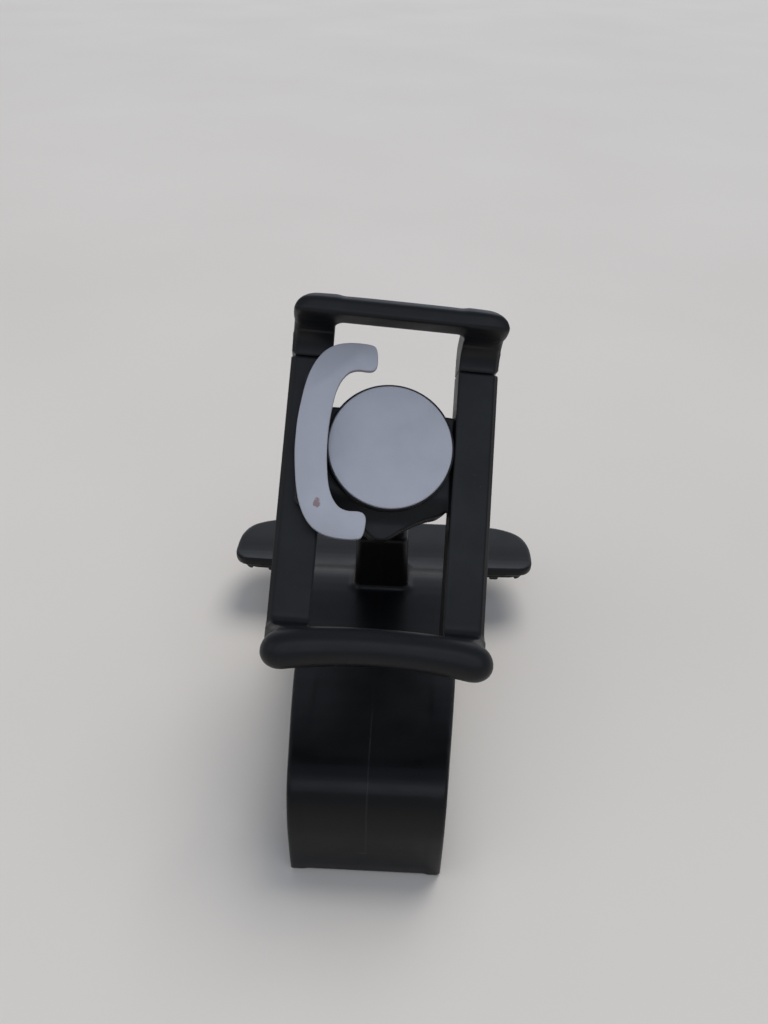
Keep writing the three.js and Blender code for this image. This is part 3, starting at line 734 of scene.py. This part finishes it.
pad_half = [(17, 76.2), (26, 76.6), (36.4, 77.6), (38.0, 79.8), (38.3, 83), (37.7, 87.6), (35.8, 90.6), (32.2, 92.8), (26, 94), (17, 94.4)]
PADPLAN = Outline(curve(pad_half + [(-x, y) for x, y in pad_half[::-1]], sub=3), 0.2)
PADBODY = Outline([(76, 12.75), (78, 12.6), (86, 12.0), (94.5, 11.55), (94.5, 10.4), (86, 10.8), (76, 11.3)], 0.12, 2)
PADTEETH = Outline([(76, 11.5), (86, 11.2), (94.5, 10.9), (94.5, 9.3), (86, 9.6), (76, 9.9)], 0.12, 2)


def f_upper_pad(P):
    x, y, z = P[:, 0], P[:, 1], P[:, 2]
    plan = PADPLAN(x, y)
    base = rmax(PADBODY(y, z), plan, 0.4)
    i = np.clip(np.round((x + 36.3) / 6.6), 0, 11)
    t = rmax(rmax(PADTEETH(y, z), np.abs(x + 36.3 - 6.6 * i) - 1.2, 0.45), plan + 0.7, 0.45)
    return rmin(base, t, 0.5)


v, q = field_mesh(f_upper_pad, (-39, 75.5, 9), (39, 95, 13), 0.36)
build("jaw_pad_upper", v, q, M_CLIP, MAT["rubber"], "clip_body", ["upper_jaw_pad"])

LOWSIDE = Outline(curve([(8, -0.0), (88, 0), (92.5, 0.8), (94.6, 3.2), (94.6, 5.0), (93.5, 5.6), (78, 6.2), (75, 5.4), (71, 3.9), (66, 3.5), (8, 3.5)],
                        corners=(0, 1, 6, 9, 10), sub=3))
low_half = [(11.8, 11), (11.8, 32.5), (13, 34.6), (15.6, 38), (16.2, 62), (17.2, 70), (20, 73.8), (24, 75.6), (25.6, 79),
            (25.6, 88), (24.2, 92), (21, 94), (15, 94.6)]
LOWPLAN = Outline(curve(low_half + [(-x, y) for x, y in low_half[::-1]], corners=(0, 2 * len(low_half) - 1, len(low_half) - 1, len(low_half)), sub=3))
KNUCKLE = Outline([(11.2, 0.4), (33, 0.4), (33, 3.2), (26, 4.6), (18.6, 10.6), (14, 14.6), (9.4, 9.4)], 0.16)
LOWRIB = Outline([(30, 2.2), (70, 2.2), (66, 6.2), (34, 6.2)], 0.16)


def f_lower(P):
    x, y, z = P[:, 0], P[:, 1], P[:, 2]
    ax = np.abs(x)
    d = rmax(LOWSIDE(y, z), LOWPLAN(x, y), 0.6)
    kn = rmin(np.hypot(y - 14, z - 10) - 5, KNUCKLE(y, z), 0.8)
    kn = rmax(kn, np.abs(ax - 10) - 1.8, 0.4)
    d = rmin(d, kn, 0.7)
    d = rmin(d, rmax(LOWRIB(y, z), np.abs(ax - 14) - 0.8, 0.35), 0.5)
    return rmax(d, -(np.hypot(y - 14, z - 10) - 2.08), 0.25)


v, q = field_mesh(f_lower, (-26, 8, 0), (26, 95, 15.2), 0.48)
build("jaw_lower", v, q, M_CLIP, MAT["clip"], "lower_jaw_body", ["lower_jaw"])

lp = [(12, 77.4), (22.5, 77.4), (24, 79.6), (24, 88), (22.6, 91), (20.4, 92.6), (12, 93)]
LPADPLAN = Outline(curve(lp + [(-x, y) for x, y in lp[::-1]], sub=3), 0.2)
LPADBODY = Outline([(77, 6.35), (93.4, 5.75), (93.4, 6.9), (77, 7.4)], 0.12, 2)
LPADTEETH = Outline([(77, 6.9), (93.4, 6.4), (93.4, 8.2), (77, 8.7)], 0.12, 2)


def f_lower_pad(P):
    x, y, z = P[:, 0], P[:, 1], P[:, 2]
    plan = LPADPLAN(x, y)
    i = np.clip(np.round((x + 20.4) / 6.8), 0, 6)
    t = rmax(rmax(LPADTEETH(y, z), np.abs(x + 20.4 - 6.8 * i) - 1.2, 0.45), plan, 0.45)
    return rmin(rmax(LPADBODY(y, z), plan, 0.35), t, 0.5)


v, q = field_mesh(f_lower_pad, (-25, 77, 5.5), (25, 94, 9), 0.36)
build("jaw_pad_lower", v, q, M_CLIP, MAT["rubber"], "lower_jaw_body", ["lower_jaw_pad"])

# hinge pin along X: turned profile laid over, with a domed head and a chamfered tail
LAY = np.array([[0, 0, 1, 0], [0, 1, 0, 0], [-1, 0, 0, 0], [0, 0, 0, 1]], float)
M_HINGE = M_CLIP @ shift(0, 14, 10) @ LAY
pin = fillet([(0, -15.6), (2.5, -15.6), (3.25, -15.2), (3.3, -14.72), (2.0, -14.72), (2.0, 15.1), (1.7, 15.35), (0, 15.35)], 0.18, 3, False)
v, f = lathe(pin, 64)
build("hinge_pin_turned", v, f, M_HINGE, MAT["steel"], "clip_body", ["hinge_pin"], angle=35)
ring = fillet([(2.1, 14.75), (3.3, 14.75), (3.3, 15.3), (2.1, 15.3)], 0.12, 3)
v, f = lathe(ring, 64)
build("pin_clip_pressed", v, f, M_HINGE, MAT["spring"], "clip_body", ["pin_clip"], angle=35)


def torsion(x0, x1):
    pts = [(x0, 14 + 22, 10 + 8.6), (x0, 14 + 12, 10 + 7.2)]
    n = 12 * 3 + 6
    for i in range(n + 1):
        t = math.pi / 2 + 2 * math.pi * i / 12
        pts.append((x0 + (x1 - x0) * i / n, 14 + 4.2 * math.cos(t), 10 + 4.2 * math.sin(t)))
    pts += [(x1, 14 + 12, 10 - 4.9), (x1, 14 + 22, 10 - 5.4)]
    return curve(pts, closed=False, sub=4)


for side, x0, x1 in (("left", -6.2, -1.4), ("right", 6.2, 1.4)):
    v, f = tube(torsion(x0, x1), 0.6, 12)
    ob = build("jaw_spring_" + side, v, f, M_CLIP, MAT["spring"], None, ["torsion_spring_" + side], angle=50)
    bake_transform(ob)


# ================================================================ ball joint
ball = [(0, BALL_R)]
tmax = math.pi / 2 + math.acos(3.2 / BALL_R)
for i in range(1, 41):
    t = math.pi / 2 - i * tmax / 40
    ball.append((BALL_R * math.cos(t), BALL_R * math.sin(t)))
tail = fillet([ball[-1], (3.2, -12.2), (4.6, -14.4), (5.5, -15.2), (5.5, -17.6), (3.0, -17.6), (3.0, -29.6), (1.45, -29.6), (1.45, -20.5), (0, -20.5)], 0.35, 4, False)
v, f = lathe(ball + [tuple(p) for p in tail[1:]], 96)
build("ball_stud_turned", v, f, M_PAN, MAT["ball"], "ball", ["ball_stud"], angle=40)


def f_screw(P):
    x, y, z = P[:, 0], P[:, 1], P[:, 2]
    r = np.hypot(x, y)
    core = 1.02 + 0.11 * np.cos(2 * math.pi * z / 0.7 - np.arctan2(y, x))
    shaft = rmax(r - core, np.abs(z + 28.5) - 7.0, 0.2)
    head = rmax(r - 2.9, np.abs(z + 36.3) - 1.0, 0.55)
    d = rmin(shaft, head, 0.25)
    dep = (z + 36.05) * 0.45
    cross = np.minimum(rbox2(x, y, 0.32 - 0 * z, 1.5, 0.1) + dep * 0.6, rbox2(x, y, 1.5, 0.32, 0.1) + dep * 0.6)
    return rmax(d, -np.maximum(cross, z + 36.4), 0.12)


v, q = field_mesh(f_screw, (-3, -3, -37.4), (3, 3, -21.3), 0.16, 1)
build("stem_screw_cross", v, q, M_PAN, MAT["steel"], "ball", ["stem_screw"])
v, f = lathe(fillet([(1.5, -34.88), (3.4, -34.88), (3.4, -35.2), (1.5, -35.2)], 0.08, 2), 64)
build("stem_washer_flat", v, f, M_PAN, MAT["steel"], "ball", ["stem_washer"], angle=35)
v, f = lathe(fillet([(8.33, -2.9), (8.72, -1.5), (8.85, 0), (8.72, 1.5), (8.5, 2.5), (10.8, 2.5), (10.8, -2.9)], 0.2, 3), 96)
build("friction_ring_moulded", v, f, M_TILT, MAT["acetal"], "ball_seat", ["friction_ring"], angle=35)


# ================================================================ cradle
lobe = [(13.3, -11.64), (11.7, -12.87), (9.57, -13.55), (7.64, -14.42), (5.74, -15.47), (3.86, -16.61), (2.35, -17.71), (0.95, -18.6), (-0.45, -18.9),
        (-1.85, -18.6), (-3.2, -17.71), (-4.7, -16.61), (-6.6, -15.47), (-8.5, -14.42), (-10.4, -13.55), (-12.2, -12.87), (-13.3, -11.64)]
hub_pts = [(-13.3, 7.4), (-11.6, 8.0), (0, 8.0), (11.6, 8.0), (13.3, 7.4), (13.3, -2)] + lobe + [(-13.3, -2)]
HUB = Outline(np.array(curve(hub_pts, corners=(0, 4, 6, 22), sub=4)) * K)
screw_xy = [(6.2, 6.2), (-6.2, 6.2), (-6.2, -6.2), (6.2, -6.2)]
CUP = Outline([(-12, -7), (11.15, -7), (11.15, 3.0), (9.3, 3.0), (9.0, 4.5), (8.2, 6.2), (6.6, 7.8), (4.2, 8.9), (0, 9.4), (-4.2, 8.9), (-12, 8)], 0.12)


def f_hub(P):
    x, y, z = P[:, 0], P[:, 1], P[:, 2]
    r = np.hypot(x, y)
    wall = np.interp(z, [4.2, 5.6], [12.2, 12.6])
    d = rmax(r - wall, np.abs(z - 2.95) - 6.05, 0.5)
    d = rmin(d, rmax(HUB(x, y), np.abs(z - 8.3) - 2.8, 0.9), 0.6)
    d = rmax(d, -CUP(r, z), 0.3)
    for sx, sy in screw_xy:
        d = rmax(d, -np.maximum(np.hypot(x - sx * K, y - sy * K) - 1.3, 6.4 - z), 0.12)
    return d


v, q = field_mesh(f_hub, (-13, -18.2, -3.2), (13, 13, 11.2), 0.34)
build("hub_shell", v, q, M_SPIN, MAT["frame"], "cradle", ["hub_housing"])

NUTCUT = Outline([(-13, 6), (12.55, 6), (12.55, -3.45), (9.5, -3.45), (10.2, -7), (-13, -7)], 0.14)


def f_nut(P):
    x, y, z = P[:, 0], P[:, 1], P[:, 2]
    r, t = np.hypot(x, y), np.arctan2(y, x)
    d = rmax((r - (14.72 + 0.6 * np.cos(8 * t))) * 0.96, np.abs(z + 0.6) - 4.2, 0.9)
    return rmax(d, -NUTCUT(r, z), 0.3)


v, q = field_mesh(f_nut, (-15.4, -15.4, -4.9), (15.4, 15.4, 3.7), 0.32)
build("lock_nut_lobed", v, q, M_SPIN, MAT["nut"], "nut", ["lock_nut"])

neck_low = [(-31.0, -5.6), (-31.0, 0), (-35.2, 0), (-36.1, 0.08), (-36.9, 0.45), (-37.4, 1.3), (-37.7, 2.8), (-37.9, 5.5), (-39, 7.6), (-42.0, 7.6),
            (-43.9, 5.8), (-44.1, 3), (-43.3, -1.4), (-41.4, -4.4), (-39.3, -5.6)]
NECKLOW = Outline(curve(neck_low, corners=(0, 1, 14), sub=4))
bar_half = [(0, -37.2), (7, -37.3), (13, -37.65), (17.2, -38.2), (19.6, -38.85), (21.3, -40.1), (22.15, -41.9), (22.05, -43.7), (20.9, -45.2), (18.9, -45.95), (15, -45.5), (8, -44.75), (0, -44.45)]
BARLOW = Outline(curve(bar_half + [(-x, y) for x, y in bar_half[1:-1][::-1]], sub=4))
web_pts = [(-14, 8.1), (-12, 8.3), (0, 8.3), (12, 8.3), (14, 8.1), (14, -2), (14, -11.2)] + lobe[1:-1] + [(-14, -11.2), (-14, -2)]
WEB = Outline(curve(web_pts, corners=(0, 4, 6, 22), sub=4), 0.2)


def f_frame(P):
    a, b, c = P[:, 0], P[:, 1], P[:, 2]
    aa = np.abs(a)
    side = np.abs(aa - 17.7) - 4.3
    # rail with a bevelled strip along its outer front edge
    rail = rmax(rmax(c, 13.4 - aa, 0.35), -5.6 - c, 0.3)
    rail = rmax(cmax(rail, aa - 22.0, 1.0), np.maximum(b - 17.93, -35 - b), 0.12)
    neck = cmax(rmax(NECKLOW(b, c), 13.4 - aa, 0.35), aa - 22.0 + 0.5 * np.maximum(c - 1.0, 0), 1.0)
    d = np.minimum(rail, neck)
    bar = rmax(BARLOW(a, b), np.abs(c - 7.6) - 3.4, 3.35)
    env = np.maximum(np.minimum(BARLOW(a, b), np.maximum(aa - 22, -41 - b)),
                     np.minimum(np.minimum(NECKLOW(b, c), rbox2(b + 41.7, c - 7.6, 4.6, 3.4, 3.1)), np.maximum(c, -35 - b)))
    d = np.maximum(rmin(d, bar, 1.3), env)
    # bridge behind the disc: its face falls back towards the lobe
    t = np.clip((b + 8.5) / -7.5, 0, 1)
    face = -2.0 - 2.3 * t * t * (3 - 2 * t)
    d = rmin(d, rmax(WEB(a, b), np.maximum((c - face) * 0.93, -4.7 - c), 0.45), 0.5)
    ch = np.maximum(np.maximum(np.abs(aa - 17.7) - 3.1, c + 1.4), np.maximum(b - 30, -34.5 - b))
    d = rmax(d, -ch, 0.3)
    for sx, sy in screw_xy:
        d = rmax(d, -(np.hypot(a - sx, b - sy) - 1.4 + 0 * c + np.maximum(c - 0.5, 0)), 0.2)
    pin = np.maximum(np.hypot(b + 33, c + 2.9) - 0.8, np.abs(aa - 17.7) - 3.9)
    return np.maximum(d, -pin)


v, q = field_mesh(f_frame, (-22.4, -46.3, -5.7), (22.4, 18.1, 11.2), 0.31)
build("cradle_frame", v, q, M_CRADLE, MAT["frame"], "cradle", ["lower_frame"])

neck_up = [(18.1, -5.6), (18.1, -0.02), (19.4, 0.2), (21.2, 1.0), (22.6, 2.8), (23.4, 5.2), (23.7, 8.0), (24.4, 9.4), (27.4, 9.4),
           (28.5, 7), (28.2, 2.4), (26.9, -2.2), (25, -4.9), (22.8, -5.6)]
NECKUP = Outline(curve(neck_up, corners=(0, 1, 13), sub=4))
top_half = [(0, 22.0), (19.0, 22.0), (22.0, 22.1), (22.0, 23.2), (21.75, 24.6), (21.0, 26.0), (19.8, 27.2), (18.2, 28.1), (16.0, 28.7), (12, 29.3), (0, 29.6)]
BARSEC = Outline(fillet([(23.5, 5.3), (23.4, 10.9), (26.6, 10.9), (28.6, 8.9), (28.6, 5.0), (26.5, 4.4)], [1.2, 1.0, 1.8, 2.2, 1.5, 1.5], 5), 0.1)
BARTOP = Outline(curve(top_half + [(-x, y) for x, y in top_half[1:-1][::-1]], sub=4))


def f_slide(P):
    a, b, c = P[:, 0], P[:, 1], P[:, 2]
    aa = np.abs(a)
    side = np.abs(aa - 17.7) - 4.3
    d = cmax(rmax(NECKUP(b, c), 13.4 - aa, 0.35), aa - 22.0, 1.0)
    sec = BARSEC(b, c)
    d = rmin(d, rmax(BARTOP(a, b), sec, 2.3), 1.9)
    d = rmax(d, np.maximum(BARTOP(a, b + 0 * np.maximum(0, 22.6 - b)), np.minimum(NECKUP(b, c), sec)) * np.where(b > 22.6, 1, 0) + np.where(b > 22.6, 0, -9), 0.5)
    leg = rmax(np.abs(aa - 17.7) - 2.75, np.maximum(np.abs(b + 1.45) - 20.05, np.abs(c + 2.925) - 1.225), 0.3)
    d = np.minimum(d, rmax(leg, -np.maximum(np.abs(aa - 17.7) - 1.5, b + 18.6), 0.3))
    pin = np.maximum(np.hypot(b + 20.3, c + 2.9) - 0.75, np.abs(aa - 17.7) - 3.9)
    return np.maximum(d, -pin)


v, q = field_mesh(f_slide, (-22.4, -21.8, -5.7), (22.4, 28.9, 11.1), 0.31)
build("clamp_slide_arm", v, q, M_CRADLE, MAT["frame"], "top_clamp", ["upper_slide"])

for i, (sx, sy) in enumerate(screw_xy):
    head = fillet([(0, -0.9), (1.6, -0.95), (2.3, -1.3), (2.3, -1.95), (1.05, -1.95)], 0.15, 3, False)
    prof = [tuple(p) for p in head]
    z = -2.2
    while z > -8.6:
        prof += [(1.05, z), (0.85, z - 0.16), (0.85, z - 0.3), (1.05, z - 0.46)]
        z -= 0.62
    prof += [(0.85, -8.9), (0.4, -9.2), (0, -9.2)]
    v, f = lathe(prof, 40)
    v = v + np.array([sx, sy, 0])
    build(f"hub_screw_{i + 1}_turned", v, f, M_CRADLE, MAT["steel"], "cradle", [f"hub_screw_{i + 1}"], angle=35)

for side, s in (("left", -1), ("right", 1)):
    a0, a1 = (14.9, 20.5) if s > 0 else (-20.5, -14.9)

    def f_cover(P, ac=(a0 + a1) / 2):
        a, b, c = P[:, 0] - ac, P[:, 1], P[:, 2]
        d = rmax(rbox2(a, b + 8.35, 2.8, 25.85, 0.5), np.abs(c + 5.0) - 0.5, 0.2)
        rec = np.maximum(rbox2(a, b + 8.35, 1.5, 23.4, 0.8), c + 5.28)
        return rmax(d, -rec, 0.1)

    v, q = field_mesh(f_cover, (a0, -34.3, -5.55), (a1, 17.6, -4.45), 0.24, 1)
    build("rail_cover_strip_" + side, v, q, M_CRADLE, MAT["frame"], "cradle", ["rail_cover_" + side])
    for nm, r, h0, h1, b, body in (("anchor_pin_", 0.7, 14.1, 21.3, -33, "cradle"), ("slide_pin_", 0.65, 15.2, 20.2, -20.3, "top_clamp")):
        lo_a, hi_a = (h0, h1) if s > 0 else (-h1, -h0)
        v, f = lathe(fillet([(0, lo_a), (r, lo_a), (r, hi_a), (0, hi_a)], 0.15, 3, False), 32)
        build(nm + "turned_" + side, v, f, M_CRADLE @ shift(0, b, -2.9) @ LAY, MAT["steel"], body, [nm + side], angle=40)
    cx = s * 17.7
    pts = [(cx, -31.9, -2.9), (cx + 0.6, -31.5, -2.9)]
    turns = 9
    for i in range(turns * 12 + 1):
        t = 2 * math.pi * i / 12
        pts.append((cx + 1.03 * math.cos(t), -31.2 + 9.2 * i / (turns * 12), -2.9 + 1.03 * math.sin(t)))
    pts += [(cx + 0.6, -21.7, -2.9), (cx, -21.3, -2.9)]
    v, f = tube(curve(pts, closed=False, sub=2), 0.22, 10)
    ob = build("clamp_spring_coil_" + side, v, f, M_CRADLE, MAT["spring"], None, ["clamp_spring_" + side], angle=50)
    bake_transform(ob)

v, f = lathe(fillet([(0, -0.55), (11.6, -0.55), (11.6, -1.95), (13.2, -1.95), (13.3, -1.2), (13.3, 0.75), (13.1, 0.95), (12.95, 0.95), (12.95, 0.15), (0, 0.15)], 0.12, 3, False), 144)
build("disc_boss", v, f, M_CRADLE, MAT["frame"], "cradle", ["disc_mount"], angle=30)
v, f = lathe(fillet([(0, 0.2), (12.7, 0.2), (12.9, 0.4), (12.88, 1.02), (12.7, 1.2), (6, 1.2), (0, 1.2)], 0.12, 4, False), 144)
build("disc_plate", v, f, M_CRADLE, MAT["disc"], "cradle", ["face_disc"], angle=30)

c_outer = [(-4.4, 19.0), (-4.9, 19.8), (-6.3, 20.15), (-10.1, 20.1), (-12.6, 19.5), (-14.6, 18.3), (-16.2, 16.4), (-17.5, 13.7),
           (-18.3, 10.8), (-18.9, 7.0), (-19.3, 3), (-19.35, 0)]
c_inner = [(-12.95, 0), (-12.8, 4), (-12.35, 7.8), (-11.85, 10.2), (-10.9, 12.4), (-9.6, 13.9), (-8.0, 14.5), (-5.6, 14.5),
           (-4.7, 14.8), (-4.15, 15.6), (-4.1, 17.2)]


def flip(pts):
    return [(x, -y) for x, y in pts][::-1]


c_shape = c_outer + flip(c_outer)[1:] + flip(c_inner) + c_inner[1:]
v, f = slab(curve(c_shape, sub=5), 3.2, 4.6, 0.22)
build("c_plate_pressed", v, f, M_CRADLE, MAT["plate"], "cradle", ["c_plate"], angle=30)
carrier = [(-18.5, 13), (-17.2, 14.4), (-15, 14.6), (-14, 13), (-14, 0), (-14, -13), (-15, -14.6), (-17.2, -14.4), (-18.5, -13), (-18.8, -6), (-18.9, 0), (-18.8, 6)]
v, f = slab(fillet(carrier, 1.0, 5), 0.05, 2.7, 0.2)
build("plate_carrier_moulded", v, f, M_CRADLE, MAT["frame"], "cradle", ["plate_carrier"], angle=30)
v, f = slab(fillet(carrier, 1.0, 5), 2.75, 3.15, 0.1)
build("plate_tape", v, f, M_CRADLE, MAT["foam"], "cradle", ["plate_adhesive"], angle=30)

# every CAD node has a stand-in; the materials are set on the carried nodes as well, in case one is shown
slot_mat = {"black_plastic": MAT["clip"], "frame_plastic": MAT["frame"], "rubber": MAT["rubber"], "steel": MAT["steel"],
            "acetal": MAT["acetal"], "silver": MAT["disc"], "foam": MAT["foam"]}
for name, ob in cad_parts.items():
    for s in ob.material_slots:
        s.material = slot_mat.get(s.material.name if s.material else "", MAT["frame"])


# ================================================================ stage and light
def floor_mat():
    m, nt, b = new_mat("studio_floor")
    n = Net(nt)
    slow, fine = n.noise(6, 3), n.noise(900, 2)
    n.put(b.inputs["Base Color"], n.mix(n.remap(slow, 0.3, 0.7, 0, 1), (0.66, 0.615, 0.565), (0.69, 0.65, 0.60)))
    n.put(b.inputs["Roughness"], n.remap(fine, 0.3, 0.7, 0.55, 0.65))
    return m


me = bpy.data.meshes.new("floor")
S = 9.0
me.from_pydata([(-S, -S, -0.0002), (S, -S, -0.0002), (S, S, -0.0002), (-S, S, -0.0002)], [], [(0, 1, 2, 3)])
me.materials.append(floor_mat())
floor = bpy.data.objects.new("floor", me)
bpy.context.scene.collection.objects.link(floor)

world = bpy.data.worlds.new("soft_room")
bpy.context.scene.world = world
world.use_nodes = True
wn = world.node_tree
bg = wn.nodes["Background"]
tc = wn.nodes.new("ShaderNodeTexCoord")
sep = wn.nodes.new("ShaderNodeSeparateXYZ")
ramp = wn.nodes.new("ShaderNodeValToRGB")
mr = wn.nodes.new("ShaderNodeMapRange")
mr.inputs["From Min"].default_value, mr.inputs["From Max"].default_value = -0.2, 1.0
wn.links.new(tc.outputs["Generated"], sep.inputs[0])
wn.links.new(sep.outputs[2], mr.inputs["Value"])
wn.links.new(mr.outputs[0], ramp.inputs[0])
el = ramp.color_ramp.elements
el[0].position, el[0].color = 0.15, (0.55, 0.55, 0.55, 1)
el[1].position, el[1].color = 1.0, (0.25, 0.28, 0.34, 1)
mid = el.new(0.42)
mid.color = (0.32, 0.345, 0.39, 1)
wn.links.new(ramp.outputs[0], bg.inputs["Color"])
bg.inputs["Strength"].default_value = 1.0


def area(name, loc, target, size, power, color, glossy=True):
    l = bpy.data.lights.new(name, "AREA")
    l.shape, l.size, l.size_y = "RECTANGLE", size[0], size[1]
    l.energy, l.color = power, color
    o = bpy.data.objects.new(name, l)
    o.location = loc
    o.rotation_mode = "QUATERNION"
    o.rotation_quaternion = (Vector(target) - Vector(loc)).to_track_quat("-Z", "Y")
    o.visible_camera = False
    o.visible_glossy = glossy
    bpy.context.scene.collection.objects.link(o)
    return o


key = bpy.data.lights.new("key", "SUN")
key.energy, key.angle, key.color = 1.52, 0.58, (1.0, 0.985, 0.96)
ko = bpy.data.objects.new("key", key)
ko.location = (0.5, 1.1, 2.2)
ko.rotation_mode = "QUATERNION"
ko.rotation_quaternion = (Vector((0, 0, 0.04)) - ko.location).to_track_quat("-Z", "Y")
ko.visible_glossy = False
bpy.context.scene.collection.objects.link(ko)
area("wall", (0.2, 2.9, 1.15), (0, 0, 0.04), (4.2, 1.5), 15.0, (0.80, 0.87, 1.0))
area("ceiling", (0.30, -0.85, 1.35), (0, 0, 0.05), (1.5, 0.9), 4.4, (0.80, 0.88, 1.0))
area("fill", (-1.5, -0.6, 1.5), (0, 0, 0.03), (1.2, 1.2), 3.0, (1.0, 0.97, 0.93))
bpy.context.scene.view_settings.view_transform = "Standard"
